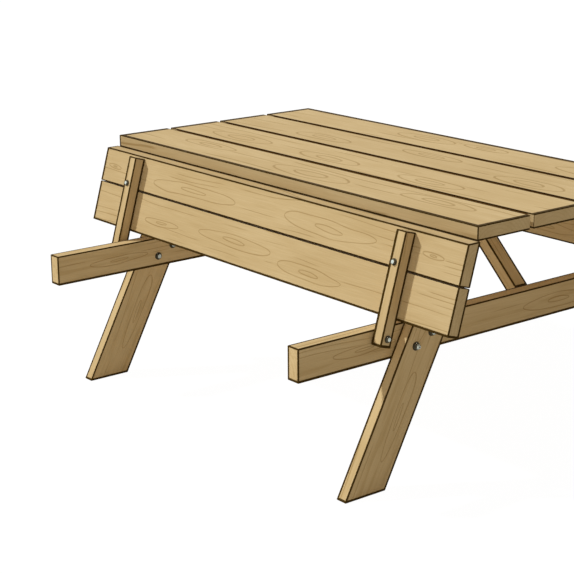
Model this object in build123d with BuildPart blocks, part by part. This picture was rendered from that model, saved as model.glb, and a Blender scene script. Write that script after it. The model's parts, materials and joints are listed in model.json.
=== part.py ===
from build123d import *
from math import cos, radians, sin, sqrt, tan
import os

os.makedirs("parts", exist_ok=True)

# A picnic table: a plank top on two leg frames, with a bench along each side that folds up to the top's edge.
# X runs along the table, Y across it and Z up. The origin is on the ground, under the middle of the top.
# Left and right are -X and +X, near and far are -Y and +Y. The benches are modelled folded up.
# Lengths are in millimetres, angles in degrees.

# Table top: planks along X, and cleats across their undersides
table_length = 1700
table_height = 756
top_thickness = 40
plank_width = 195
plank_gap = 15
plank_count = 4
top_cleat_depth = 70
top_cleat_inset = 12
top_cleat_snipe = 25

# Leg frames: a seat beam and two splayed legs at each end, with a brace up to the top
frame_thickness = 38
frame_inset = 225
beam_thickness = 45
beam_height = 95
beam_setback = 39
leg_width = 128
leg_angle = 27.8
leg_to_pivot = 76
brace_width = 50
brace_depth = 41
brace_angle = 44
brace_offset = 48

# Benches: two planks on two cleats that swing on the seat beams
bench_overrun = 10
bench_thickness = 42
bench_inner_width = 133
bench_outer_width = 124
bench_plank_gap = 2
bench_lean = 16.2
bench_cleat_width = 39
bench_cleat_depth = 38
bench_cleat_setback = 19
pivot_to_seat = 52
pivot_to_cleat_end = 25
seat_edge_lap = 1.6

# Frame bolts, in pairs, with a washer at both ends
bolt_diameter = 10
bolt_flats = 16
bolt_head_height = 6.4
bolt_tail = 5
bolt_end_bevel = 1
nut_height = 8.4
washer_diameter = 25
washer_thickness = 2
bolt_step_along = 29
bolt_step_up = 15
beam_bolts_up = 49
beam_bolts_out = 8

# Hex-headed screws: the bench pivots, and one up through each bench cleat
pivot_diameter = 8
pivot_flats = 13
pivot_head_height = 5.3
pivot_washer_diameter = 21
pivot_washer_thickness = 2
pivot_cover = 6
coach_diameter = 8
coach_flats = 13
coach_head_height = 5.3
coach_washer_diameter = 20
coach_washer_thickness = 1.6
coach_from_seam = 18
point_radius = 1

# Countersunk wood screws: the cover is the wood left beyond a screw's point
screw_diameter = 5
screw_head_diameter = 10
screw_cover = 10
screw_recess = 20
screw_slot = 1.2
plank_screw_margin = 42
seat_screw_margin = 30
brace_screw_step = 11
brace_screw_recess = 6

# Rounding of the sawn edges, the gap between pieces that rest on each other, and clearances on the radius
arris = 2.5
rest_gap = 0.3
pivot_clearance = 0.08
hole_clearance = 0.1

ENDS = {"left": -1, "right": 1}
SIDES = {"near": -1, "far": 1}
BOTH_WAYS = (-1, 1)

lean = radians(bench_lean)
splay = radians(leg_angle)
brace_rise = radians(brace_angle)

# Table top places
top_underside = table_height - top_thickness
top_width = plank_count * plank_width + (plank_count - 1) * plank_gap
top_cleat_bottom = top_underside - top_cleat_depth
top_cleat_half = top_width / 2 - top_cleat_inset
plank_step = plank_width + plank_gap
plank_middles = [(index - (plank_count - 1) / 2) * plank_step for index in range(plank_count)]

# Folded up, a seat's outer edge lies level, and its rounded upper arris leans on the lower arris of the top
seat_seam = pivot_to_seat + bench_inner_width
seat_outer_edge = seat_seam + bench_plank_gap + bench_outer_width
seat_edge_bevel = bench_thickness * tan(lean)
pivot_to_underside = bench_cleat_depth / 2
pivot_to_seat_face = pivot_to_underside + bench_thickness
seat_edge_z = top_underside + seat_edge_lap
pivot_z = seat_edge_z - seat_outer_edge * cos(lean) + pivot_to_seat_face * sin(lean)
arris_run = arris / tan((radians(90) - lean) / 2)
arris_drop = 2 * arris - seat_edge_lap
arris_spread = sqrt((2 * arris + rest_gap) ** 2 - arris_drop**2)
fold_reach = seat_outer_edge * sin(lean) + pivot_to_seat_face * cos(lean) - arris_run
pivot_y = top_width / 2 - arris + arris_spread + fold_reach

# Folded down, the bench planks lie on the seat beams, and the bench cleats hang beside them
beam_top = pivot_z + pivot_to_underside - rest_gap
beam_bottom = beam_top - beam_height
beam_half_length = pivot_y + seat_outer_edge - beam_setback
beam_outer = table_length / 2 - frame_inset
beam_inner = beam_outer - beam_thickness
top_cleat_inner = beam_outer - frame_thickness
top_cleat_x = (top_cleat_inner + beam_outer) / 2
leg_outer = beam_outer + frame_thickness
bench_cleat_inner = beam_outer + pivot_washer_thickness + rest_gap
bench_cleat_outer = bench_cleat_inner + bench_cleat_width


def leg_edge(height):
    """Distance from the middle of the table to a leg's outward edge, at a height."""
    return pivot_y - leg_to_pivot / cos(splay) - (height - pivot_z) * tan(splay)


def leg_middle(height):
    """Distance from the middle of the table to a leg's centre line, at a height."""
    return leg_edge(height) - leg_width / cos(splay) / 2


def near_bolts(height, outward):
    """Places, as (Y, Z), of two bolts about a height in a near leg, set outward from its centre line."""
    middle = -leg_middle(height) - outward
    return [(middle + way * bolt_step_along, height + way * bolt_step_up) for way in BOTH_WAYS]


def far_too(points):
    """Adds the far side's twin of each (Y, Z) point of the near side."""
    return points + [(-y, z) for y, z in points]


top_cleat_mid = top_underside - top_cleat_depth / 2
beam_bolts = near_bolts(beam_bottom + beam_bolts_up, beam_bolts_out)
cleat_bolts = near_bolts(top_cleat_mid, 0)

# Screws up through the cleats: two by the edges of each plank, but beside a leg one is on its centre line
edge_screw_reach = plank_width / 2 - plank_screw_margin
middle_cleat_rows = [middle + way * edge_screw_reach for middle in plank_middles for way in BOTH_WAYS]
end_cleat_rows = middle_cleat_rows.copy()
end_cleat_rows[1] = -leg_middle(top_cleat_mid)
end_cleat_rows[-2] = -end_cleat_rows[1]
plank_bite = top_thickness - screw_cover
beam_bite = beam_thickness - screw_cover

# A brace starts with its upper face at the seat beam's inner top edge. A screw crosses each end at mid-cut
brace_foot = brace_depth / cos(brace_rise)
brace_head = brace_depth / sin(brace_rise)
brace_reach = (top_underside - beam_top) / tan(brace_rise)
brace_foot_z = beam_top - brace_foot / 2
brace_head_x = beam_inner - brace_reach - brace_head / 2
brace_foot_wood = brace_foot / 2 / tan(brace_rise) - brace_screw_recess
brace_head_wood = brace_head / 2 * tan(brace_rise) - brace_screw_recess
brace_rows = [brace_offset + way * brace_screw_step for way in BOTH_WAYS]


def drill(plane, points, diameter, depth):
    """Cuts round holes from a plane along its normal into the part being built."""
    with BuildSketch(plane) as holes:
        with Locations(*points):
            Circle(diameter / 2 + hole_clearance)
    extrude(holes.sketch, amount=depth, mode=Mode.SUBTRACT)


def sink_screws(seats, depth):
    """Cuts countersunk screw holes at seats whose Z axis points out of the wood."""
    with Locations(*seats):
        CounterSinkHole(
            screw_diameter / 2 + hole_clearance,
            screw_head_diameter / 2 + hole_clearance,
            depth + hole_clearance,
            counter_sink_angle=90,
        )


def hex_blank(flats, height):
    """Hexagonal head or nut from Z = 0 upward, its outer corners turned off."""
    corner = flats / sqrt(3)
    shoulder = height - (corner - flats / 2) / sqrt(3)
    with BuildPart() as blank:
        with BuildSketch():
            RegularPolygon(flats / 2, 6, major_radius=False)
        extrude(amount=height)
        with BuildSketch(Plane.XZ):
            with BuildLine():
                outline = [(0, 0), (corner, 0), (corner, shoulder), (flats / 2, height), (0, height)]
                Polyline(*outline, close=True)
            make_face()
        revolve(axis=Axis.Z, mode=Mode.INTERSECT)
    return blank.part


def hex_screw(diameter, length, flats, head_height, end_radius):
    """Hex-headed screw or bolt: head above Z = 0, shank below it, bevelled down to its end."""
    radius = diameter / 2
    taper = end_radius - radius
    with BuildPart() as screw:
        add(hex_blank(flats, head_height))
        with BuildSketch(Plane.XZ):
            with BuildLine():
                Polyline(
                    (0, 0),
                    (radius, 0),
                    (radius, -length - taper),
                    (end_radius, -length),
                    (0, -length),
                    close=True,
                )
            make_face()
        revolve(axis=Axis.Z)
    return screw.part


def washer(diameter, bore, thickness):
    """Flat washer from Z = 0 upward."""
    with BuildPart() as ring:
        with BuildSketch():
            Circle(diameter / 2)
            Circle(bore / 2 + hole_clearance, mode=Mode.SUBTRACT)
        extrude(amount=thickness)
    return ring.part


def wood_screw(length):
    """Countersunk screw: the head's flat at Z = 0 with a cross slot, the shank below it."""
    head = screw_head_diameter / 2
    shank = screw_diameter / 2
    with BuildPart() as screw:
        with BuildSketch(Plane.XZ):
            with BuildLine():
                outline = [(0, 0), (head, 0), (shank, shank - head), (shank, shank - length), (0, -length)]
                Polyline(*outline, close=True)
            make_face()
        revolve(axis=Axis.Z)
        with BuildSketch():
            Rectangle(head, screw_slot)
            Rectangle(screw_slot, head)
        extrude(amount=-screw_slot, mode=Mode.SUBTRACT)
    return screw.part


def write(name, part):
    """Labels a finished piece and writes its file."""
    part.label = name
    export_step(part, f"parts/{name}.step")


def write_group(name, *kinds):
    """Writes copies of each (fastener, seats) pair as separate solids under one name."""
    with BuildPart() as group:
        for fastener, seats in kinds:
            with Locations(*seats):
                add(fastener)
    write(name, group.part)


# Top planks, with blind holes below for the screws of the cleats and braces
top_pilots = [(0, y) for y in middle_cleat_rows]
for end in ENDS.values():
    top_pilots += [(end * top_cleat_x, y) for y in end_cleat_rows]
    top_pilots += [(end * brace_head_x, end * y) for y in brace_rows]
for index, middle in enumerate(plank_middles):
    with BuildPart() as plank:
        with BuildSketch(Plane.XY.offset(top_underside)):
            with Locations((0, middle)):
                Rectangle(table_length, plank_width)
        extrude(amount=top_thickness)
        fillet(plank.edges(), arris)
        pilots = [(x, y) for x, y in top_pilots if abs(y - middle) < plank_width / 2]
        drill(Plane.XY.offset(top_underside), pilots, screw_diameter, plank_bite + hole_clearance)
    write(f"top_plank_{index + 1}", plank.part)

# End cleats, on edge under the top in line with the seat beams, their lower corners cut off
end_cleat_seats = []
for end_name, end in ENDS.items():
    inner_face = Plane.YZ.offset(end * top_cleat_inner)
    screw_z = top_cleat_bottom + screw_recess
    seats = [Plane((end * top_cleat_x, y, screw_z), z_dir=(0, 0, -1)) for y in end_cleat_rows]
    with BuildPart() as end_cleat:
        with BuildSketch(inner_face):
            with BuildLine():
                Polyline(
                    (-top_cleat_half, top_underside),
                    (-top_cleat_half, top_cleat_bottom + top_cleat_snipe),
                    (-top_cleat_half + top_cleat_snipe, top_cleat_bottom),
                    (top_cleat_half - top_cleat_snipe, top_cleat_bottom),
                    (top_cleat_half, top_cleat_bottom + top_cleat_snipe),
                    (top_cleat_half, top_underside),
                    close=True,
                )
            make_face()
        extrude(amount=end * frame_thickness)
        fillet(end_cleat.edges(), arris)
        drill(inner_face, far_too(cleat_bolts), bolt_diameter, end * frame_thickness)
        sink_screws(seats, top_cleat_depth - screw_recess)
    write(f"top_cleat_{end_name}", end_cleat.part)
    end_cleat_seats += seats
end_cleat_screw = wood_screw(top_cleat_depth - screw_recess + plank_bite)
write_group("end_cleat_screws", (end_cleat_screw, end_cleat_seats))

# Middle cleat, of the same timber laid flat
middle_cleat_bottom = top_underside - frame_thickness
middle_cleat_seats = [Plane((0, y, middle_cleat_bottom), z_dir=(0, 0, -1)) for y in middle_cleat_rows]
with BuildPart() as middle_cleat:
    with BuildSketch(Plane.XY.offset(top_underside)):
        Rectangle(top_cleat_depth, 2 * top_cleat_half)
    extrude(amount=-frame_thickness)
    fillet(middle_cleat.edges(), arris)
    sink_screws(middle_cleat_seats, frame_thickness)
write("top_cleat_middle", middle_cleat.part)
write_group("middle_cleat_screws", (wood_screw(frame_thickness + plank_bite), middle_cleat_seats))

# Seat beams, bolted to the legs and drilled outside for the pivots and inside for the brace
for end_name, end in ENDS.items():
    inner_face = Plane.YZ.offset(end * beam_inner)
    outer_face = Plane.YZ.offset(end * beam_outer)
    pivot_depth = beam_thickness - pivot_cover + hole_clearance
    brace_pilots = [(end * y, brace_foot_z) for y in brace_rows]
    with BuildPart() as beam:
        with BuildSketch(inner_face):
            with Locations((0, beam_top - beam_height / 2)):
                Rectangle(2 * beam_half_length, beam_height)
        extrude(amount=end * beam_thickness)
        fillet(beam.edges(), arris)
        drill(inner_face, far_too(beam_bolts), bolt_diameter, end * beam_thickness)
        drill(outer_face, far_too([(-pivot_y, pivot_z)]), pivot_diameter, -end * pivot_depth)
        drill(inner_face, brace_pilots, screw_diameter, end * (beam_bite + hole_clearance))
    write(f"seat_beam_{end_name}", beam.part)

# Legs, flat on the outer faces of the seat beam and the end cleat
leg_span = leg_width / cos(splay)
leg_foot = leg_edge(0)
leg_head = leg_edge(top_underside)
for end_name, end in ENDS.items():
    for side_name, side in SIDES.items():
        leg_face = Plane.YZ.offset(end * beam_outer)
        leg_bolts = [(-side * y, z) for y, z in beam_bolts + cleat_bolts]
        with BuildPart() as leg:
            with BuildSketch(leg_face):
                with BuildLine():
                    Polyline(
                        (side * leg_foot, 0),
                        (side * (leg_foot - leg_span), 0),
                        (side * (leg_head - leg_span), top_underside),
                        (side * leg_head, top_underside),
                        close=True,
                    )
                make_face()
            extrude(amount=end * frame_thickness)
            fillet(leg.edges(), arris)
            drill(leg_face, leg_bolts, bolt_diameter, end * frame_thickness)
        write(f"leg_{end_name}_{side_name}", leg.part)

# Braces, from the seat beam's inner face to the underside of the top, one on each side of the middle line
brace_foot_seats = []
brace_head_seats = []
for end_name, end in ENDS.items():
    foot_x = end * (beam_inner - brace_foot_wood)
    head_z = top_underside - brace_head_wood
    foot_seats = [Plane((foot_x, end * y, brace_foot_z), z_dir=(-end, 0, 0)) for y in brace_rows]
    head_seats = [Plane((end * brace_head_x, end * y, head_z), z_dir=(0, 0, -1)) for y in brace_rows]
    with BuildPart() as brace:
        with BuildSketch(Plane.XZ.offset(-end * brace_offset)):
            with BuildLine():
                Polyline(
                    (end * beam_inner, beam_top),
                    (end * beam_inner, beam_top - brace_foot),
                    (end * (beam_inner - brace_reach - brace_head), top_underside),
                    (end * (beam_inner - brace_reach), top_underside),
                    close=True,
                )
            make_face()
        extrude(amount=brace_width / 2, both=True)
        fillet(brace.edges(), arris)
        sink_screws(foot_seats, brace_foot_wood)
        sink_screws(head_seats, brace_head_wood)
    write(f"brace_{end_name}", brace.part)
    brace_foot_seats += foot_seats
    brace_head_seats += head_seats
brace_foot_screw = wood_screw(brace_foot_wood + beam_bite)
brace_head_screw = wood_screw(brace_head_wood + plank_bite)
write_group("brace_screws", (brace_foot_screw, brace_foot_seats), (brace_head_screw, brace_head_seats))


def bolt_places(points, x, outward):
    """Seats at both ends of the table, at a distance from its middle, their Z axis out of the wood."""
    return [Plane((end * x, y, z), z_dir=(end * outward, 0, 0)) for end in ENDS.values() for y, z in points]


def bolt_kind(points, inner, thickness):
    """A bolt with its seats, through legs and a member whose inner face is at a distance from the middle."""
    length = thickness + frame_thickness + 2 * washer_thickness + nut_height + bolt_tail
    bolt = hex_screw(bolt_diameter, length, bolt_flats, bolt_head_height, bolt_diameter / 2 - bolt_end_bevel)
    return bolt, bolt_places(points, inner - washer_thickness, -1)


# Frame bolts, with their heads on the inner faces and their nuts on the legs
beam_bolt_points = far_too(beam_bolts)
cleat_bolt_points = far_too(cleat_bolts)
all_bolt_points = beam_bolt_points + cleat_bolt_points
washer_seats = bolt_places(beam_bolt_points, beam_inner, -1)
washer_seats += bolt_places(cleat_bolt_points, top_cleat_inner, -1)
washer_seats += bolt_places(all_bolt_points, leg_outer, 1)
nut_seats = bolt_places(all_bolt_points, leg_outer + washer_thickness, 1)
with BuildPart() as frame_nut:
    add(hex_blank(bolt_flats, nut_height))
    drill(Plane.XY, [(0, 0)], bolt_diameter, nut_height)
write_group(
    "frame_bolts",
    bolt_kind(beam_bolt_points, beam_inner, beam_thickness),
    bolt_kind(cleat_bolt_points, top_cleat_inner, frame_thickness),
)
write_group("frame_washers", (washer(washer_diameter, bolt_diameter, washer_thickness), washer_seats))
write_group("frame_nuts", (frame_nut.part, nut_seats))

# Pivot screws, with a washer under the head and one between the bench cleat and the seat beam
pivot_head_x = bench_cleat_outer + rest_gap + pivot_washer_thickness
pivot_length = pivot_head_x - beam_inner - pivot_cover
pivot_seats = []
pivot_washer_seats = []
for end in ENDS.values():
    for side in SIDES.values():
        pivot_seats.append(Plane((end * pivot_head_x, side * pivot_y, pivot_z), z_dir=(end, 0, 0)))
        pivot_washer_seats.append(Plane((end * pivot_head_x, side * pivot_y, pivot_z), z_dir=(-end, 0, 0)))
        pivot_washer_seats.append(Plane((end * beam_outer, side * pivot_y, pivot_z), z_dir=(end, 0, 0)))
pivot_screw = hex_screw(pivot_diameter, pivot_length, pivot_flats, pivot_head_height, point_radius)
pivot_washer = washer(pivot_washer_diameter, pivot_diameter, pivot_washer_thickness)
write_group("pivot_screws", (pivot_screw, pivot_seats))
write_group("pivot_washers", (pivot_washer, pivot_washer_seats))

# Benches. In a bench's plane X runs along it, Y up the folded seat from the pivot, and Z out of its underside
bench_length = table_length + 2 * bench_overrun
bench_planes = {
    "near": Plane((0, -pivot_y, pivot_z), x_dir=(1, 0, 0), z_dir=(0, -cos(lean), sin(lean))),
    "far": Plane((0, pivot_y, pivot_z), x_dir=(-1, 0, 0), z_dir=(0, cos(lean), sin(lean))),
}
bench_cleat_x = (bench_cleat_inner + bench_cleat_outer) / 2
bench_cleat_columns = [end * bench_cleat_x for end in ENDS.values()]
bench_cleat_end = seat_outer_edge - bench_cleat_setback
outer_plank_start = seat_seam + bench_plank_gap
seat_planks = {
    "inner": (pivot_to_seat, seat_seam, seat_seam),
    "outer": (outer_plank_start, seat_outer_edge - seat_edge_bevel, seat_outer_edge),
}
seat_screw_rows = {
    "inner": [pivot_to_seat + seat_screw_margin, seat_seam - seat_screw_margin],
    "outer": [seat_outer_edge - seat_screw_margin],
}
coach_row = outer_plank_start + coach_from_seam
coach_bite = bench_thickness - screw_cover
seat_bite = bench_cleat_depth - screw_cover
coach_length = coach_washer_thickness + bench_cleat_depth + coach_bite
coach_screw = hex_screw(coach_diameter, coach_length, coach_flats, coach_head_height, point_radius)
coach_washer = washer(coach_washer_diameter, coach_diameter, coach_washer_thickness)
seat_screw = wood_screw(bench_thickness + seat_bite)

for side_name, bench in bench_planes.items():
    section = Plane(bench.origin, x_dir=bench.y_dir, z_dir=bench.x_dir)
    underside = bench.offset(-pivot_to_underside)
    cleat_face = underside.offset(bench_cleat_depth)
    coach_points = [(x, coach_row) for x in bench_cleat_columns]

    # Seat planks, screwed through the seat face, the outer one also held by the coach screws
    seat_screw_seats = []
    for plank_name, (start, underside_end, face_end) in seat_planks.items():
        seats = [
            bench.location * Location((x, y, -pivot_to_seat_face), (180, 0, 0))
            for x in bench_cleat_columns
            for y in seat_screw_rows[plank_name]
        ]
        with BuildPart() as bench_plank:
            with BuildSketch(section):
                with BuildLine():
                    Polyline(
                        (start, -pivot_to_underside),
                        (underside_end, -pivot_to_underside),
                        (face_end, -pivot_to_seat_face),
                        (start, -pivot_to_seat_face),
                        close=True,
                    )
                make_face()
            extrude(amount=bench_length / 2, both=True)
            fillet(bench_plank.edges(), arris)
            sink_screws(seats, bench_thickness)
            if plank_name == "outer":
                drill(underside, coach_points, coach_diameter, -coach_bite - hole_clearance)
        write(f"{side_name}_bench_plank_{plank_name}", bench_plank.part)
        seat_screw_seats += seats

    # Bench cleats, bored for the pivot screws
    for end_name, end in ENDS.items():
        column = bench.x_dir.X * end * bench_cleat_x
        seat_pilots = [(column, y) for rows in seat_screw_rows.values() for y in rows]
        with BuildPart() as bench_cleat:
            with BuildSketch(underside):
                with Locations((column, (bench_cleat_end - pivot_to_cleat_end) / 2)):
                    Rectangle(bench_cleat_width, bench_cleat_end + pivot_to_cleat_end)
            extrude(amount=bench_cleat_depth)
            fillet(bench_cleat.edges(), arris)
            with BuildSketch(Plane.YZ.offset(end * bench_cleat_inner)):
                with Locations((bench.origin.Y, bench.origin.Z)):
                    Circle(pivot_diameter / 2 + pivot_clearance)
            extrude(amount=end * bench_cleat_width, mode=Mode.SUBTRACT)
            drill(cleat_face, [(column, coach_row)], coach_diameter, -bench_cleat_depth)
            drill(underside, seat_pilots, screw_diameter, seat_bite + hole_clearance)
        write(f"{side_name}_bench_cleat_{end_name}", bench_cleat.part)

    # Bench fasteners
    coach_washer_seats = [cleat_face.location * Location((x, y, 0)) for x, y in coach_points]
    coach_seats = [seat * Location((0, 0, coach_washer_thickness)) for seat in coach_washer_seats]
    write_group(f"{side_name}_bench_washers", (coach_washer, coach_washer_seats))
    write_group(f"{side_name}_bench_coach_screws", (coach_screw, coach_seats))
    write_group(f"{side_name}_bench_seat_screws", (seat_screw, seat_screw_seats))
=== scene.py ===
import bmesh
import bpy
import json
from itertools import count
from math import cos, pi, radians, sin, sqrt, tan
from mathutils import Matrix, Vector

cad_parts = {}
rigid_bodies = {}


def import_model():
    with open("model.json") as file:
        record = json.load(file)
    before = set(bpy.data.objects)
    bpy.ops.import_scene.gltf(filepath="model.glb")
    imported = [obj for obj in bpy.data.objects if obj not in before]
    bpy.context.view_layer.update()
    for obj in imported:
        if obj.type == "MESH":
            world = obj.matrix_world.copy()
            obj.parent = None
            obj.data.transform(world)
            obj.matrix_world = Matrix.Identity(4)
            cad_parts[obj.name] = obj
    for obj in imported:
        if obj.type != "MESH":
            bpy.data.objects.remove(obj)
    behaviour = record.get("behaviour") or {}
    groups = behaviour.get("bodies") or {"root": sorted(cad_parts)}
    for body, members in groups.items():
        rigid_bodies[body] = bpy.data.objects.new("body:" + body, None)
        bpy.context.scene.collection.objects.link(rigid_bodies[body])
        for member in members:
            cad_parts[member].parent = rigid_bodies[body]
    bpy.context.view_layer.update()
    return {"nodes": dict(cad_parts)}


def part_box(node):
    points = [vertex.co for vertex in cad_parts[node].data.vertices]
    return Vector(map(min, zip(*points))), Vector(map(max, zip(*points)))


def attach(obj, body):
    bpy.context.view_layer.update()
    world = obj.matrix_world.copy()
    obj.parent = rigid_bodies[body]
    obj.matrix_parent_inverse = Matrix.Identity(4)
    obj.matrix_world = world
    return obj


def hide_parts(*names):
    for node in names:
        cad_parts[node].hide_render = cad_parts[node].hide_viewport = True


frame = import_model()
nodes = frame["nodes"]

# Seat beams: two softwood timbers across the table that carry the leg frames and, folded down, the benches.
# Planed with eased edges and oiled, so that the summer growth shows as thin brown lines. The arrises have
# gone dark with weather, less so on the sunny sides, where the sun has bleached them again.
OILED_WOOD = (0.584, 0.424, 0.220)
SOFT_SHADE = (0.93, 0.91, 0.87, 1)
SMEAR = (0.90, 0.87, 0.81, 1)
GROWTH_LINE = (0.75, 0.70, 0.61, 1)
DARK_ARRIS = (0.052, 0.028, 0.005, 1)
# Painted shade for the faces inside the narrow gaps between boards.
GAP_PAINTED_SHADE = (0.26, 0.17, 0.07, 1)
SUNNY = Vector((1, -1, 1))
BLEACHED = 0.53
X = Vector((1, 0, 0))
Y = Vector((0, 1, 0))
Z = Vector((0, 0, 1))
ENDS = {"left": -1, "right": 1}


def plug(tree, socket, feed):
    """Feeds an input from another node or with a plain value."""
    if isinstance(feed, bpy.types.NodeSocket):
        tree.links.new(feed, socket)
    elif feed is not None:
        socket.default_value = feed


def step(tree, kind, *feeds, **settings):
    """Adds a node, sets it up, and feeds its inputs in order."""
    node = tree.nodes.new(kind)
    for name, value in settings.items():
        setattr(node, name, value)
    for socket, feed in zip(node.inputs, feeds):
        plug(tree, socket, feed)
    return node


def reckon(tree, operation, *feeds):
    """One sum on numbers."""
    return step(tree, "ShaderNodeMath", *feeds, operation=operation).outputs[0]


def place(tree, operation, *feeds):
    """One sum on places. LENGTH and DOT_PRODUCT give a number."""
    node = step(tree, "ShaderNodeVectorMath", *feeds, operation=operation)
    return node.outputs["Value" if operation in ("LENGTH", "DOT_PRODUCT") else "Vector"]


def fade(tree, value, start, end, first=1.0, last=0.0):
    """Runs smoothly from first to last as the value goes from start to end."""
    feeds = (value, start, end, first, last)
    return step(tree, "ShaderNodeMapRange", *feeds, interpolation_type="SMOOTHSTEP").outputs[0]


def stain(tree, colour, dye, amount, way="MULTIPLY"):
    """Lays a dye on a colour, by an amount from 0 to 1."""
    node = step(tree, "ShaderNodeMix", data_type="RGBA", blend_type=way)
    for index, feed in ((0, amount), (6, colour), (7, dye)):
        plug(tree, node.inputs[index], feed)
    return node.outputs[2]


def cloud(tree, where, to_the_metre, detail=1.0):
    """Soft random values from 0 to 1, in clouds of so many to the metre along each axis."""
    stretched = place(tree, "MULTIPLY", where, to_the_metre)
    return step(tree, "ShaderNodeTexNoise", stretched, None, 1.0, detail).outputs[0]


def recipe(name, takes, gives):
    """Starts a node group with named inputs and outputs."""
    tree = bpy.data.node_groups.new(name, "ShaderNodeTree")
    for way, sockets in (("INPUT", takes), ("OUTPUT", gives)):
        for label, kind in sockets.items():
            tree.interface.new_socket(label, in_out=way, socket_type="NodeSocket" + kind)
    return tree, tree.nodes.new("NodeGroupInput").outputs, tree.nodes.new("NodeGroupOutput").inputs


def grain_eye_recipe():
    """The closed growth lines where a board is cut through a bulge of the trunk."""
    takes = {"Place": "Vector", "Middle": "Vector", "Reach": "Vector", "Heart": "Float"}
    tree, given, made = recipe("grain_eye", takes, {"Distance": "Float", "Inside": "Float"})
    offset = place(tree, "DIVIDE", place(tree, "SUBTRACT", given["Place"], given["Middle"]), given["Reach"])
    inside = place(tree, "LENGTH", offset)
    slope = place(tree, "LENGTH", place(tree, "DIVIDE", offset, given["Reach"]))
    outer = reckon(tree, "ABSOLUTE", reckon(tree, "SUBTRACT", inside, 1.0))
    inner = reckon(tree, "ABSOLUTE", reckon(tree, "SUBTRACT", inside, given["Heart"]))
    nearest = reckon(tree, "MINIMUM", outer, inner)
    distance = reckon(tree, "DIVIDE", reckon(tree, "MULTIPLY", nearest, inside), slope)
    tree.links.new(distance, made["Distance"])
    tree.links.new(inside, made["Inside"])
    return tree


def oiled_wood_recipe():
    """Oiled softwood in a board's own axes: X along the grain, Y across its face, Z through it."""
    takes = {"Place": "Vector", "Tone": "Color", "Seed": "Float", "Arris": "Float", "End grain": "Float"}
    takes.update({"Smears": "Float", "Line width": "Float", "Line spacing": "Float"})
    takes.update({"Eye line": "Float", "Eye inside": "Float"})
    gives = {"Colour": "Color", "Roughness": "Float", "Height": "Float"}
    tree, given, made = recipe("oiled_wood", takes, gives)
    seed = step(tree, "ShaderNodeCombineXYZ", given["Seed"], given["Seed"], given["Seed"]).outputs[0]
    here = place(tree, "ADD", given["Place"], seed)

    # Growth lines along the board, each one there for part of its length only
    line_wander = 0.075
    layer_slant = 0.75
    stretches_to_the_metre = 3.1
    stretch_change = 3.7
    along, across, through = step(tree, "ShaderNodeSeparateXYZ", given["Place"]).outputs
    slanted = reckon(tree, "MULTIPLY_ADD", through, layer_slant, across)
    wandering = reckon(tree, "MULTIPLY_ADD", cloud(tree, here, (1.7, 5.0, 5.0)), line_wander, slanted)
    row = reckon(tree, "DIVIDE", wandering, given["Line spacing"])
    line = reckon(tree, "FLOOR", row)
    chance = step(tree, "ShaderNodeTexWhiteNoise", None, reckon(tree, "ADD", line, given["Seed"]))
    chance.noise_dimensions = "1D"
    middle = reckon(tree, "MULTIPLY_ADD", chance.outputs[0], 0.5, 0.25)
    aside = reckon(tree, "ABSOLUTE", reckon(tree, "SUBTRACT", reckon(tree, "FRACT", row), middle))
    line_distance = reckon(tree, "MULTIPLY", aside, given["Line spacing"])
    stretch = step(
        tree,
        "ShaderNodeCombineXYZ",
        reckon(tree, "MULTIPLY_ADD", along, stretches_to_the_metre, given["Seed"]),
        reckon(tree, "MULTIPLY", line, stretch_change),
    ).outputs[0]
    streak = fade(tree, reckon(tree, "DIVIDE", line_distance, given["Line width"]), 0.4, 1.0)
    for share in (
        fade(tree, cloud(tree, stretch, (1, 1, 1), 0.0), 0.54, 0.62, 0.0, 1.0),
        fade(tree, given["Eye inside"], 1.05, 1.35, 0.0, 1.0),
        fade(tree, given["End grain"], 0.2, 0.8),
    ):
        streak = reckon(tree, "MULTIPLY", streak, share)
    eye = fade(tree, reckon(tree, "DIVIDE", given["Eye line"], given["Line width"]), 0.5, 1.1)
    growth = reckon(tree, "MAXIMUM", streak, eye)

    # Fine fibre, soft smears and patches, and rings on the sawn ends
    from_pith = (0, 0.03, 0.07)
    ring_step = 0.0055
    ring_wobble = 0.006
    ring_strength = 0.22
    smear = cloud(tree, here, (5.0, 60.0, 60.0))
    smears = reckon(tree, "MULTIPLY", fade(tree, smear, 0.52, 0.68, 0.0, 1.0), given["Smears"])
    fibre = cloud(tree, here, (9.0, 330.0, 330.0), 2.0)
    patch = cloud(tree, here, (2.5, 11.0, 11.0), 2.0)
    pith = place(tree, "MULTIPLY", place(tree, "ADD", given["Place"], from_pith), (0, 1, 1))
    ring = reckon(tree, "MULTIPLY_ADD", patch, ring_wobble, place(tree, "LENGTH", pith))
    ring = reckon(tree, "PINGPONG", reckon(tree, "DIVIDE", ring, ring_step), 1.0)
    rings = reckon(tree, "MULTIPLY", fade(tree, ring, 0.10, 0.45), given["End grain"])

    # The arris is 1 where its dark band ends, and the fibre makes that line ragged
    raggedness = 0.2
    line_depth = -0.5
    colour = stain(tree, given["Tone"], SOFT_SHADE, fade(tree, fibre, 0.35, 0.75))
    colour = stain(tree, colour, SOFT_SHADE, fade(tree, patch, 0.30, 0.70))
    colour = stain(tree, colour, SMEAR, smears)
    colour = stain(tree, colour, GROWTH_LINE, growth)
    colour = stain(tree, colour, GROWTH_LINE, reckon(tree, "MULTIPLY", rings, ring_strength))
    ragged = reckon(tree, "MULTIPLY_ADD", fibre, raggedness, given["Arris"])
    colour = stain(tree, colour, DARK_ARRIS, fade(tree, ragged, 1.0, 1.0 + raggedness), "MIX")
    tree.links.new(colour, made["Colour"])
    tree.links.new(fade(tree, fibre, 0.3, 0.7, 0.88, 0.74), made["Roughness"])
    tree.links.new(reckon(tree, "MULTIPLY_ADD", growth, line_depth, fibre), made["Height"])
    return tree


grain_eye = grain_eye_recipe()
oiled_wood = oiled_wood_recipe()
board_numbers = count(1)


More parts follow.
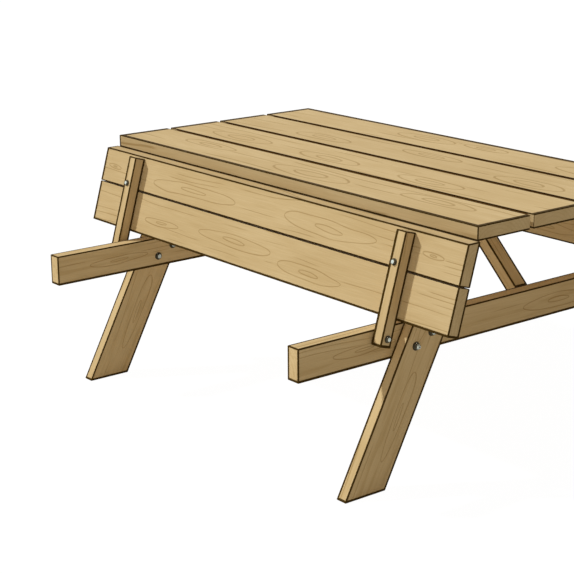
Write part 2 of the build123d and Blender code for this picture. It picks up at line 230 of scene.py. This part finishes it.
def draw_eyes(tree, local, eyes, heart):
    """Gives the distance to the nearest line of a board's eyes, and how far out of its eye a place is."""
    sway = 0.03
    right_through = 100
    bend = cloud(tree, local, (4.0, 14.0, 14.0))
    aside = reckon(tree, "MULTIPLY_ADD", bend, sway, -sway / 2)
    bent = place(tree, "ADD", local, step(tree, "ShaderNodeCombineXYZ", None, aside).outputs[0])
    line = 1.0
    inside = 10.0
    for x, y, long_reach, wide_reach in eyes:
        eye = step(tree, "ShaderNodeGroup", node_tree=grain_eye)
        reach = (long_reach, wide_reach, right_through)
        for label, feed in {"Place": bent, "Middle": (x, y, 0), "Reach": reach, "Heart": heart}.items():
            plug(tree, eye.inputs[label], feed)
        line = reckon(tree, "MINIMUM", eye.outputs["Distance"], line)
        inside = reckon(tree, "MINIMUM", eye.outputs["Inside"], inside)
    return line, inside


def lay_wood(
    node,
    along,
    across,
    size,
    eyes=(),
    ends=(),
    sides=(),
    shaded_gaps=(),
    tone=1.0,
    painted_side_shading=1.0,
    painted_end_shading=1.0,
    middle=None,
    wear=0.0080,
    face_wear=1.0,
    line_width=0.0017,
    line_spacing=0.017,
    heart=0.3,
    smears=0.3,
):
    """Gives a CAD board its wood, in axes along its grain and across its face.

    Size is length, width and thickness. An eye is its place on the face and its reach, and the heart is
    the share of that reach where its inner line runs. Ends and sides are planes, as normal, distance and
    share of wear, where a board isn't square or wears unevenly. Shaded gaps are the ways it faces a narrow
    gap, whose faces get painted shade, each with the length at the ends that is left unshaded. Tone darkens
    or lightens the whole board. The painted side and end shading lighten or darken its sides and its ends,
    as painted light and shade. Wear is how far an edge has gone dark, times face wear on the broad faces.
    """
    seed_step = 3.7
    dry_sheen = 0.02
    grain_relief = 0.0008
    low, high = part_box(node)
    through = along.cross(across)
    material = bpy.data.materials.new(node + "_wood")
    material.use_nodes = True
    tree = material.node_tree
    tree.nodes.clear()
    where = tree.nodes.new("ShaderNodeTexCoord")
    board = step(tree, "ShaderNodeMapping", where.outputs["Object"], vector_type="TEXTURE")
    board.inputs["Location"].default_value = middle or (low + high) / 2
    board.inputs["Rotation"].default_value = Matrix((along, across, through)).transposed().to_euler()
    local = board.outputs[0]

    def turned(way):
        """How squarely the surface faces a way, from -1 to 1."""
        return place(tree, "DOT_PRODUCT", where.outputs["Normal"], way)

    def squarely(way, start, end, first=0.0, last=1.0):
        """Fades in where the surface faces a way or its opposite."""
        return fade(tree, reckon(tree, "ABSOLUTE", turned(way)), start, end, first, last)

    def to_planes(planes):
        """Distance to the nearer of two planes, shorter where the share of wear is larger."""
        distances = []
        for way, distance, share in planes:
            spare = distance + (BLEACHED * wear * share if way.dot(SUNNY) > 0 else 0)
            reached = place(tree, "DOT_PRODUCT", where.outputs["Object"], way)
            distances.append(reckon(tree, "DIVIDE", reckon(tree, "SUBTRACT", spare, reached), share))
        return reckon(tree, "MINIMUM", *distances)

    # An arris is where two of the three distances, to the ends, sides and faces, are short
    axes = (along, across, through)
    bleached = [BLEACHED * wear / 2 * (1 if axis.dot(SUNNY) > 0 else -1) for axis in axes]
    reach = [length / 2 + abs(shift) for length, shift in zip(size, bleached)]
    aside = place(tree, "ABSOLUTE", place(tree, "SUBTRACT", local, bleached))
    distances = place(tree, "SUBTRACT", reach, aside)
    to_end, to_side, to_face = step(tree, "ShaderNodeSeparateXYZ", distances).outputs
    if ends:
        to_end = to_planes(ends)
    if sides:
        to_side = to_planes(sides)
    from_end = to_end
    if face_wear != 1.0:
        widening = squarely(through, 0.5, 0.9, 1.0, face_wear)
        to_end = reckon(tree, "DIVIDE", to_end, widening)
        to_side = reckon(tree, "DIVIDE", to_side, widening)
    nearer = reckon(tree, "MINIMUM", to_side, to_face)
    farther = reckon(tree, "MAXIMUM", to_side, to_face)
    arris = reckon(tree, "MAXIMUM", nearer, reckon(tree, "MINIMUM", farther, to_end))

    end_grain = squarely(along, 0.6, 0.8)
    eye_line, eye_inside = draw_eyes(tree, local, eyes, heart)
    wood = step(tree, "ShaderNodeGroup", node_tree=oiled_wood)
    for label, feed in {
        "Place": local,
        "Tone": [tone * channel for channel in OILED_WOOD] + [1],
        "Seed": next(board_numbers) * seed_step,
        "Arris": reckon(tree, "DIVIDE", arris, wear),
        "End grain": end_grain,
        "Smears": smears,
        "Line width": line_width,
        "Line spacing": line_spacing,
        "Eye line": eye_line,
        "Eye inside": eye_inside,
    }.items():
        plug(tree, wood.inputs[label], feed)
    colour = wood.outputs["Colour"]
    # Painted light and shade: the sides and the sawn ends are lightened or darkened by the way they face.
    if painted_side_shading != 1.0:
        colour = stain(tree, colour, [painted_side_shading] * 3 + [1], squarely(across, 0.6, 0.9))
    if painted_end_shading != 1.0:
        colour = stain(tree, colour, [painted_end_shading] * 3 + [1], end_grain)
    # Painted shade on the faces that look into a narrow gap, left off near the board's ends.
    for way, unshaded_end in shaded_gaps:
        facing = fade(tree, turned(way), 0.5, 0.8, 0.0, 1.0)
        away = fade(tree, from_end, unshaded_end, unshaded_end * 1.4, 0.0, 1.0)
        colour = stain(tree, colour, GAP_PAINTED_SHADE, reckon(tree, "MULTIPLY", facing, away))

    bump = step(tree, "ShaderNodeBump", 0.5, grain_relief)
    tree.links.new(wood.outputs["Height"], bump.inputs["Height"])
    shader = tree.nodes.new("ShaderNodeBsdfPrincipled")
    shader.inputs["Specular IOR Level"].default_value = dry_sheen
    tree.links.new(colour, shader.inputs["Base Color"])
    tree.links.new(wood.outputs["Roughness"], shader.inputs["Roughness"])
    tree.links.new(bump.outputs[0], shader.inputs["Normal"])
    tree.links.new(shader.outputs[0], tree.nodes.new("ShaderNodeOutputMaterial").inputs[0])
    nodes[node].data.materials.clear()
    nodes[node].data.materials.append(material)


def extent(node):
    """Size of a node's box along X, Y and Z."""
    low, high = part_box(node)
    return high - low


beam_eyes = [(-0.60, 0.004, 0.11, 0.013), (0.16, -0.004, 0.15, 0.018), (0.60, 0.0, 0.11, 0.015)]
for end in ENDS:
    beam = f"seat_beam_{end}"
    deep, long, high = extent(beam)
    # Painted light on the beams' upper and lower faces and on their sawn ends.
    lay_wood(beam, Y, Z, (long, high, deep), beam_eyes, tone=0.98, painted_side_shading=1.2, painted_end_shading=1.17, smears=0.9)

# Legs: four splayed softwood boards, sawn level at the top and foot.
# Each one is bolted flat to the outside of a seat beam and of an end cleat.
SIDES = {"near": -1, "far": 1}
leg_splay = radians(27.8)
leg_width = 0.128
leg_eyes = [(-0.17, 0.012, 0.13, 0.019), (0.14, -0.02, 0.10, 0.014)]
for end in ENDS:
    for side, way in SIDES.items():
        leg = f"leg_{end}_{side}"
        thick, _, high = extent(leg)
        up = Vector((0, -way * sin(leg_splay), cos(leg_splay)))
        leg_size = (2 * high, leg_width, thick)
        level_cuts = [(Z, high, 1), (-Z, 0.0, 1)]
        # A little painted light on the legs' narrow front and back edges.
        lay_wood(leg, up, up.cross(X), leg_size, leg_eyes, level_cuts, painted_side_shading=1.05, smears=0.9)

# Cleats under the top: one on edge over each leg frame and one laid flat in the middle, all of one timber.
# They hold the four planks together, and are screwed up into them from below.
for end in ENDS:
    cleat = f"top_cleat_{end}"
    thick, long, high = extent(cleat)
    lay_wood(cleat, Y, Z, (long, high, thick), tone=0.97)
wide, long, thick = extent("top_cleat_middle")
lay_wood("top_cleat_middle", Y, X, (long, wide, thick), tone=0.98)

# Top planks: four wide flat-sawn boards laid along the table with open gaps for rain.
# Their wood is painted lighter than the other boards', as painted light on the top, and their long edges
# and ends darker, as painted shade. The cleats hold them from below, so no screw shows on top.
top_eyes = {
    1: [(0.063, -0.010, 0.171, 0.041), (-0.50, 0.035, 0.13, 0.028), (0.58, 0.020, 0.14, 0.030)],
    2: [(0.379, -0.026, 0.130, 0.036), (-0.540, -0.022, 0.150, 0.040), (-0.079, -0.029, 0.139, 0.034)],
    3: [(0.578, -0.037, 0.133, 0.038), (-0.362, -0.026, 0.129, 0.034), (0.10, 0.030, 0.13, 0.030)],
    4: [(-0.126, 0.009, 0.131, 0.038), (0.130, 0.030, 0.093, 0.028), (0.60, -0.010, 0.13, 0.034)],
}
# Painted light: each top plank's wood is lightened by this much.
top_painted_light = {1: 1.18, 2: 1.19, 3: 1.16, 4: 1.18}
left_end_wear = 1.5
right_end_wear = 1
near_edge_wear = 1
far_edge_wear = 1.35
gap_wear = 0.3
# The painted shade in the gaps between top planks stops this far from their ends.
unshaded_plank_end = 0.022
for number, eyes in top_eyes.items():
    plank = f"top_plank_{number}"
    low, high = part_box(plank)
    edges = []
    shaded_gaps = []
    for way, distance, outermost, outer_wear in (
        (-Y, -low.y, 1, near_edge_wear),
        (Y, high.y, 4, far_edge_wear),
    ):
        edges.append((way, distance, outer_wear if number == outermost else gap_wear))
        if number != outermost:
            shaded_gaps.append((way, unshaded_plank_end))
    lay_wood(
        plank,
        X,
        Y,
        high - low,
        eyes,
        ends=[(-X, -low.x, left_end_wear), (X, high.x, right_end_wear)],
        sides=edges,
        shaded_gaps=shaded_gaps,
        tone=top_painted_light[number],
        painted_side_shading=0.71,
        painted_end_shading=0.765,
        wear=0.0055,
        face_wear=3.0,
        line_width=0.0044,
        line_spacing=0.048,
        heart=0.42,
        smears=0.05,
    )

# Braces: two slanting struts from the seat beams up to the underside of the top, one each side of the
# middle line. Their ends are sawn to lie flat against the beam and the planks, and are screwed to both.
brace_rise = radians(44)
brace_depth = 0.041
brace_length = 1.0
brace_middle = 0.2
for end, way in ENDS.items():
    brace = f"brace_{end}"
    low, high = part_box(brace)
    foot = max(way * low.x, way * high.x)
    beam_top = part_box(f"seat_beam_{end}")[1].z
    up = Vector((-way * cos(brace_rise), 0, sin(brace_rise)))
    over = Vector((way * sin(brace_rise), 0, cos(brace_rise)))
    upper_corner = Vector((way * foot, (low.y + high.y) / 2, beam_top))
    middle = upper_corner + up * brace_middle - over * brace_depth / 2
    brace_size = (brace_length, brace_depth, high.y - low.y)
    cut_ends = [(Z, high.z, 1), (way * X, foot, 1)]
    lay_wood(brace, up, over, brace_size, ends=cut_ends, middle=middle, tone=1.05, smears=0.9)

# Bench cleats: four square timbers across the undersides of the seats, which the benches swing on.
# One pivot screw goes through the lower end of each into a seat beam.
bench_lean = radians(16.2)
bench_cleat_size = (0.317, 0.039, 0.038)
left_flank_wear = 1.25
right_flank_wear = 1
for side, way in SIDES.items():
    up = Vector((0, -way * sin(bench_lean), cos(bench_lean)))
    for end in ENDS:
        cleat = f"{side}_bench_cleat_{end}"
        low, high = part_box(cleat)
        flanks = [(-X, -low.x, left_flank_wear), (X, high.x, right_flank_wear)]
        # Painted shade on the cleats' side faces.
        lay_wood(cleat, up, X, bench_cleat_size, sides=flanks, tone=1.05, painted_side_shading=0.9)

# Bench planks: two flat-sawn boards to each seat, with a narrow gap between them.
# They are screwed through the seat face into the cleats, and shown folded up, undersides out.
bench_thickness = 0.042
bench_widths = {"inner": 0.133, "outer": 0.124}
bench_plank_gap = 0.002
bench_left_wear = 1.45
bench_right_wear = 0.9
lower_edge_wear = 0.85
level_edge_wear = 1
seam_wear = 0.47
# The painted shade in the seam between bench planks stops this far from their ends.
unshaded_seam_end = 0.004
bench_eyes = {
    "inner": [(-0.087, 0.001, 0.180, 0.019), (0.277, -0.016, 0.142, 0.018), (-0.468, -0.012, 0.092, 0.011)],
    "outer": [
        (-0.336, -0.018, 0.218, 0.020),
        (0.322, -0.007, 0.201, 0.023),
        (0.746, -0.001, 0.040, 0.006),
        (-0.790, -0.005, 0.036, 0.006),
    ],
}
for side, way in SIDES.items():
    up = Vector((0, -way * sin(bench_lean), cos(bench_lean)))
    low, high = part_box(f"{side}_bench_plank_inner")
    inner_middle = (low + high) / 2
    inner_edge = up * bench_widths["inner"] / 2
    seam = inner_middle + inner_edge
    outer_start = seam + up * bench_plank_gap
    middles = {"inner": inner_middle, "outer": outer_start + up * bench_widths["outer"] / 2}
    lower_edge = (-up, -up.dot(inner_middle - inner_edge), lower_edge_wear)
    level_edge = (Z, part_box(f"{side}_bench_plank_outer")[1].z, level_edge_wear)
    edges = {
        "inner": [lower_edge, (up, up.dot(seam), seam_wear)],
        "outer": [(-up, -up.dot(outer_start), seam_wear), level_edge],
    }
    to_seam = {"inner": up, "outer": -up}
    for name, eyes in bench_eyes.items():
        plank = f"{side}_bench_plank_{name}"
        long = extent(plank).x
        # Painted shade on the planks' sawn ends.
        lay_wood(
            plank,
            X,
            up,
            (long, bench_widths[name], bench_thickness),
            eyes,
            ends=[(-X, long / 2, bench_left_wear), (X, long / 2, bench_right_wear)],
            sides=edges[name],
            shaded_gaps=[(to_seam[name], unshaded_seam_end)],
            tone=0.99,
            painted_end_shading=0.90,
            middle=middles[name],
        )

# Washers: thin steel rings under every bolt head, nut and hex screw, stamped from sheet.
# Rain has taken most of their zinc, so they have gone nearly black against the wood.
NEAR_OUT = Vector((0, -cos(bench_lean), sin(bench_lean)))
FAR_OUT = Vector((0, cos(bench_lean), sin(bench_lean)))


def steel(name, bright, dull, spangle, rough):
    """Plated steel, mottled between two tones in patches of a size."""
    material = bpy.data.materials.new(name)
    material.use_nodes = True
    tree = material.node_tree
    scratch_depth = 0.0002
    shader = tree.nodes["Principled BSDF"]
    where = tree.nodes.new("ShaderNodeTexCoord").outputs["Object"]
    mottle = cloud(tree, where, [1 / spangle] * 3, 3.0)
    scratch = cloud(tree, where, (300.0, 2600.0, 2600.0), 2.0)
    patches = fade(tree, mottle, 0.35, 0.65, 0.0, 1.0)
    tree.links.new(stain(tree, (*bright, 1), (*dull, 1), patches, "MIX"), shader.inputs["Base Color"])
    shader.inputs["Metallic"].default_value = 1.0
    tree.links.new(fade(tree, mottle, 0.3, 0.7, rough, rough + 0.2), shader.inputs["Roughness"])
    bump = step(tree, "ShaderNodeBump", 0.4, scratch_depth)
    tree.links.new(scratch, bump.inputs["Height"])
    tree.links.new(bump.outputs[0], shader.inputs["Normal"])
    return material


def shape(name, modifier, **settings):
    """Finishes the active piece with one modifier."""
    tool = bpy.context.object.modifiers.new(name, modifier)
    for setting, value in settings.items():
        setattr(tool, setting, value)
    bpy.ops.object.modifier_apply(modifier=name)


def drum(radius, low, high, corners=48):
    """A round or cornered bar between two heights on the Z axis."""
    bpy.ops.object.select_all(action="DESELECT")
    middle = (0, 0, (low + high) / 2)
    bpy.ops.mesh.primitive_cylinder_add(vertices=corners, radius=radius, depth=high - low, location=middle)
    bpy.ops.object.transform_apply(location=True)
    return bpy.context.object


def cut(piece, tool, operation):
    """Cuts a piece with a second one, or welds it on. The second one is used up."""
    bpy.context.view_layer.objects.active = piece
    shape("cut", "BOOLEAN", operation=operation, object=tool, solver="EXACT")
    bpy.data.objects.remove(tool)


def washer(name, radius, bore, thick):
    """A ring on Z = 0 with eased rims."""
    ring = drum(radius, 0, thick)
    ring.name = name
    cut(ring, drum(bore, -thick, 2 * thick), "DIFFERENCE")
    rim = {"width": thick * 0.2, "segments": 2, "limit_method": "ANGLE", "angle_limit": radians(60)}
    shape("eased_rims", "BEVEL", **rim)
    ring.data.materials.append(blackened)
    return ring


def fastener_places(node, axis, long=False):
    """A CAD node's solids as (middle, outward axis, length). X points out of the table at both ends."""
    widest = 0.03
    solids = []
    for vertex in nodes[node].data.vertices:
        for points in solids:
            apart = vertex.co - points[0]
            if long:
                apart = apart - axis * apart.dot(axis)
            if apart.length < widest and vertex.co.x * points[0].x > 0:
                points.append(vertex.co)
                break
        else:
            solids.append([vertex.co])
    places = []
    for points in solids:
        out = axis if axis != X or points[0].x > 0 else -axis
        aside = out.orthogonal().normalized()
        ways = (aside, out.cross(aside), out)
        spans = [(min(p.dot(way) for p in points), max(p.dot(way) for p in points)) for way in ways]
        middle = sum((way * (span[0] + span[1]) / 2 for way, span in zip(ways, spans)), Vector())
        places.append((middle, out, spans[2][1] - spans[2][0]))
    return places


def fit_copies(model, node, body, places, heads_in=False):
    """Sets a copy of a fastener at each place of a CAD node, turned as a spanner happens to leave it."""
    heights = [corner[2] for corner in model.bound_box]
    centred = Matrix.Translation((0, 0, -(min(heights) + max(heights)) / 2))
    for middle, out, _ in places:
        piece = model.copy()
        piece.data = model.data.copy()
        fitted = [other for other in bpy.data.objects if other.name.startswith(f"{model.name}_")]
        piece.name = f"{model.name}_{len(fitted) + 1}"
        facing = (-out if heads_in else out).to_track_quat("Z", "Y").to_matrix().to_4x4()
        stray_angle = middle.y * 40 + middle.z * 25 + middle.x
        turn = Matrix.Rotation(stray_angle, 4, "Z")
        piece.data.transform(Matrix.Translation(middle) @ facing @ turn @ centred)
        bpy.context.scene.collection.objects.link(piece)
        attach(piece, body)
        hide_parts(node)


def put_away(*models):
    """Throws the models away once they are copied."""
    for model in models:
        bpy.data.objects.remove(model)


blackened = steel("blackened_washer", (0.056, 0.046, 0.026), (0.092, 0.074, 0.044), 0.004, 0.55)
frame_washer = washer("frame_washer", 0.0125, 0.0051, 0.002)
pivot_washer = washer("pivot_washer", 0.0105, 0.0041, 0.002)
bench_washer = washer("bench_washer", 0.0100, 0.0041, 0.0016)
fit_copies(frame_washer, "frame_washers", "table", fastener_places("frame_washers", X))
fit_copies(pivot_washer, "pivot_washers", "table", fastener_places("pivot_washers", X))
near_washer_places = fastener_places("near_bench_washers", NEAR_OUT)
far_washer_places = fastener_places("far_bench_washers", FAR_OUT)
fit_copies(bench_washer, "near_bench_washers", "near_bench", near_washer_places)
fit_copies(bench_washer, "far_bench_washers", "far_bench", far_washer_places)
put_away(frame_washer, pivot_washer, bench_washer)

# Frame bolts and nuts: forged hex heads on the inner faces, rolled threads that stand out past the nuts.
# The upright flats of heads and nuts are a darker grey zinc, as painted shade, and weather has turned their
# rims black, but the zinc is still bright on the thread and in the middle of each upper face.
bolt_radius = 0.005
bolt_flats = 0.016
bolt_head_height = 0.0064
nut_height = 0.0084
nut_clearance = 0.0001
thread_pitch = 0.0015
thread_turns = 14
thread_root = 0.88
bolt_tip = 0.86
centre_mark = 0.0024
dent_floor = 0.8
worn_share = 0.42
rim_share = 0.47
bright_zinc = steel("bright_zinc", (0.54, 0.57, 0.51), (0.42, 0.45, 0.40), 0.0022, 0.55)
# Darker zinc as painted shade on the upright flats of heads and nuts.
grey_zinc = steel("grey_zinc", (0.20, 0.19, 0.15), (0.12, 0.11, 0.08), 0.0022, 0.55)


def choose_end(upper):
    """In edit mode, selects the faces of the upper or the lower end alone and gives their height."""
    same_height = 1e-6
    mesh = bmesh.from_edit_mesh(bpy.context.object.data)
    heights = {face: face.calc_center_median().z for face in mesh.faces}
    height = max(heights.values()) if upper else min(heights.values())
    for face in mesh.faces:
        face.select_set(abs(heights[face] - height) < same_height)
    bmesh.update_edit_mesh(bpy.context.object.data)
    return height


def hex_bar(flats, height):
    """A hexagon on Z = 0, its upper corners turned off at 30 degrees, with a ring on its upper face."""
    rim = flats * rim_share
    tall = 2 * height
    slant = tall / tan(radians(30))
    bpy.ops.object.select_all(action="DESELECT")
    bpy.ops.mesh.primitive_cone_add(vertices=48, radius1=rim + slant, radius2=rim, depth=tall)
    turned = bpy.context.object
    bar = drum(flats / sqrt(3), 0, tall, 6)
    cut(bar, turned, "INTERSECT")
    bpy.ops.object.mode_set(mode="EDIT")
    bpy.ops.mesh.select_mode(type="FACE")
    bpy.ops.mesh.select_all(action="SELECT")
    bpy.ops.mesh.remove_doubles(threshold=0.00002)
    choose_end(upper=True)
    bpy.ops.mesh.inset(thickness=rim - flats * worn_share)
    bpy.ops.object.mode_set(mode="OBJECT")
    return bar


def draw_out(steps):
    """Draws the lowest face of the active piece down in (length, scale) steps."""
    bpy.ops.object.mode_set(mode="EDIT")
    bpy.ops.mesh.select_mode(type="FACE")
    height = choose_end(upper=False)
    for length, scale in steps:
        bpy.ops.mesh.extrude_region_move(TRANSFORM_OT_translate={"value": (0, 0, -length)})
        height -= length
        bpy.ops.transform.resize(value=(scale, scale, 1), center_override=(0, 0, height))
    bpy.ops.object.mode_set(mode="OBJECT")


def finish_hex(piece, flats):
    """Leaves zinc bright on the thread and the worn upper face, a darker grey on the flats as painted shade,
    and black elsewhere.
    """
    bright, black, grey = range(3)
    for finish in (bright_zinc, blackened, grey_zinc):
        piece.data.materials.append(finish)
    past_dent = centre_mark * 1.1
    past_wear = flats * worn_share * 1.05
    for polygon in piece.data.polygons:
        spread = max(piece.data.vertices[corner].co.xy.length for corner in polygon.vertices)
        upright = abs(polygon.normal.z) < 0.2
        if past_dent < spread < past_wear:
            polygon.material_index = bright
        # The upright flats get painted shade.
        elif spread > flats / 2 and upright:
            polygon.material_index = grey
        else:
            polygon.material_index = black


def headed(name, shank, flats, head_height):
    """Welds a hex head on a shank that ends inside it."""
    head = hex_bar(flats, head_height)
    cut(head, shank, "UNION")
    head.name = name
    finish_hex(head, flats)
    return head


def frame_bolt(total):
    """A bolt with its head from Z = 0 up, a threaded end and a dent in its tip."""
    length = total - bolt_head_height
    shank = drum(bolt_radius, thread_turns * thread_pitch - length, bolt_head_height / 2, 32)
    half = thread_pitch / 2
    thread = [(half, thread_root), (half, 1 / thread_root)] * (thread_turns - 1)
    dent = [(0, centre_mark / (bolt_radius * bolt_tip)), (-centre_mark / 4, dent_floor)]
    draw_out(thread + [(thread_pitch, bolt_tip)] + dent)
    return headed("frame_bolt", shank, bolt_flats, bolt_head_height)


bolt_places = fastener_places("frame_bolts", X, long=True)
for total in sorted({round(length, 4) for _, _, length in bolt_places}):
    bolt = frame_bolt(total)
    alike = [spot for spot in bolt_places if round(spot[2], 4) == total]
    fit_copies(bolt, "frame_bolts", "table", alike, heads_in=True)
    put_away(bolt)
nut = hex_bar(bolt_flats, nut_height)
nut.name = "frame_nut"
cut(nut, drum(bolt_radius + nut_clearance, -nut_height, 2 * nut_height), "DIFFERENCE")
finish_hex(nut, bolt_flats)
fit_copies(nut, "frame_nuts", "table", fastener_places("frame_nuts", X))
put_away(nut)

# Hex screws: one through the lower end of each bench cleat, which the bench swings on, and one through each
# cleat into the outer seat plank. Zinc-plated coach screws with a plain shank, a coarse thread and a long
# point.
screw_radius = 0.004
screw_flats = 0.013
screw_head_height = 0.0053
screw_pitch = 0.0024
screw_root = 0.8
screw_point = 0.25
plain_share = 0.5
thread_share = 0.4
for node, body, axis in (
    ("pivot_screws", "table", X),
    ("near_bench_coach_screws", "near_bench", NEAR_OUT),
    ("far_bench_coach_screws", "far_bench", FAR_OUT),
):
    places = fastener_places(node, axis, long=True)
    length = places[0][2] - screw_head_height
    shank = drum(screw_radius, -length * plain_share, screw_head_height / 2, 32)
    turn = [(screw_pitch / 2, screw_root), (screw_pitch / 2, 1 / screw_root)]
    draw_out(turn * int(length * thread_share / screw_pitch))
    tip = length + min(corner[2] for corner in shank.bound_box)
    draw_out([(tip, screw_point)])
    hex_screw = headed(node[:-1], shank, screw_flats, screw_head_height)
    fit_copies(hex_screw, node, body, places)
    put_away(hex_screw)

# Wood screws: countersunk cross-slot steel screws, plated with dull zinc. They hold the top planks to their
# cleats, the seat planks to the bench cleats, and the braces at both ends.
dull_zinc = steel("dull_zinc", (0.36, 0.37, 0.35), (0.24, 0.25, 0.23), 0.002, 0.5)
for name, node in nodes.items():
    if name.endswith("screws"):
        node.data.materials.clear()
        node.data.materials.append(dull_zinc)

# Floor: a plain white studio floor that the table stands on.
# The camera, and any shine on the steel, sees it as white, apart from the table's soft shadow.
shadow_share = 0.9


def seen_plainly(tree):
    """1 for rays that come straight from the camera or by way of a shiny or clear piece, or else 0."""
    rays = tree.nodes.new("ShaderNodeLightPath").outputs
    seen = reckon(tree, "MAXIMUM", rays["Is Camera Ray"], rays["Is Glossy Ray"])
    return reckon(tree, "MAXIMUM", seen, rays["Is Transmission Ray"])


bpy.ops.object.select_all(action="DESELECT")
bpy.ops.mesh.primitive_plane_add(size=60)
floor = bpy.context.object
floor.name = "studio_floor"
white = bpy.data.materials.new("white_floor")
white.use_nodes = True
tree = white.node_tree
tree.nodes.clear()
matt = step(tree, "ShaderNodeBsdfDiffuse", (0.72, 0.72, 0.72, 1)).outputs[0]
glow = step(tree, "ShaderNodeEmission", (1, 1, 1, 1), 1.08).outputs[0]
glowing = reckon(tree, "MULTIPLY", seen_plainly(tree), shadow_share)
mix = step(tree, "ShaderNodeMixShader", glowing, matt, glow).outputs[0]
tree.links.new(mix, tree.nodes.new("ShaderNodeOutputMaterial").inputs[0])
floor.data.materials.append(white)

# Light: a high studio lamp from the left, with a weak warm glow from all round.
# Weaker warm lamps from the front and the back lift the shaded sides and cast no shadow.
world = bpy.data.worlds.new("studio")
bpy.context.scene.world = world
world.use_nodes = True
tree = world.node_tree
tree.nodes.clear()
fill = step(tree, "ShaderNodeBackground", (1.0, 0.93, 0.80, 1), 0.16).outputs[0]
backdrop = step(tree, "ShaderNodeBackground", (1, 1, 1, 1), 1.0).outputs[0]
mix = step(tree, "ShaderNodeMixShader", seen_plainly(tree), fill, backdrop).outputs[0]
tree.links.new(mix, tree.nodes.new("ShaderNodeOutputWorld").inputs[0])
lamps = {
    "key_lamp": ((-0.52, -0.50, 0.69), (0.87, 0.94, 1.0), 1.0, True),
    "front_fill": ((0.60, -0.75, 0.28), (1.0, 0.92, 0.79), 0.27, False),
    "back_fill": ((-0.75, 0.60, 0.28), (1.0, 0.92, 0.78), 0.28, False),
}
for name, (towards, colour, strength, casts_shadow) in lamps.items():
    lamp_data = bpy.data.lights.new(name, "SUN")
    lamp_data.energy = strength * pi
    lamp_data.color = colour
    lamp_data.angle = radians(4)
    lamp_data.use_shadow = casts_shadow
    lamp = bpy.data.objects.new(name, lamp_data)
    lamp.rotation_euler = Vector(towards).to_track_quat("Z", "Y").to_euler()
    bpy.context.scene.collection.objects.link(lamp)

# Camera: a little above the table, looking along it from the near right corner through a long lens.
# From there the corners of the table fall where the picture has them.
camera_data = bpy.data.cameras.new("camera")
camera_data.sensor_width = 36
camera_data.lens = 99.272
camera = bpy.data.objects.new("camera", camera_data)
camera_place = (3.64174, -3.25094, 1.73155)
right = Vector((0.62242, 0.78265, -0.00762))
up = Vector((-0.21122, 0.17734, 0.96122))
back = Vector((0.75365, -0.59667, 0.27569))
camera_turn = Matrix((right, up, back)).transposed().to_4x4()
camera.matrix_world = Matrix.Translation(camera_place) @ camera_turn
bpy.context.scene.collection.objects.link(camera)
bpy.context.scene.camera = camera
bpy.context.scene.view_settings.view_transform = "Standard"
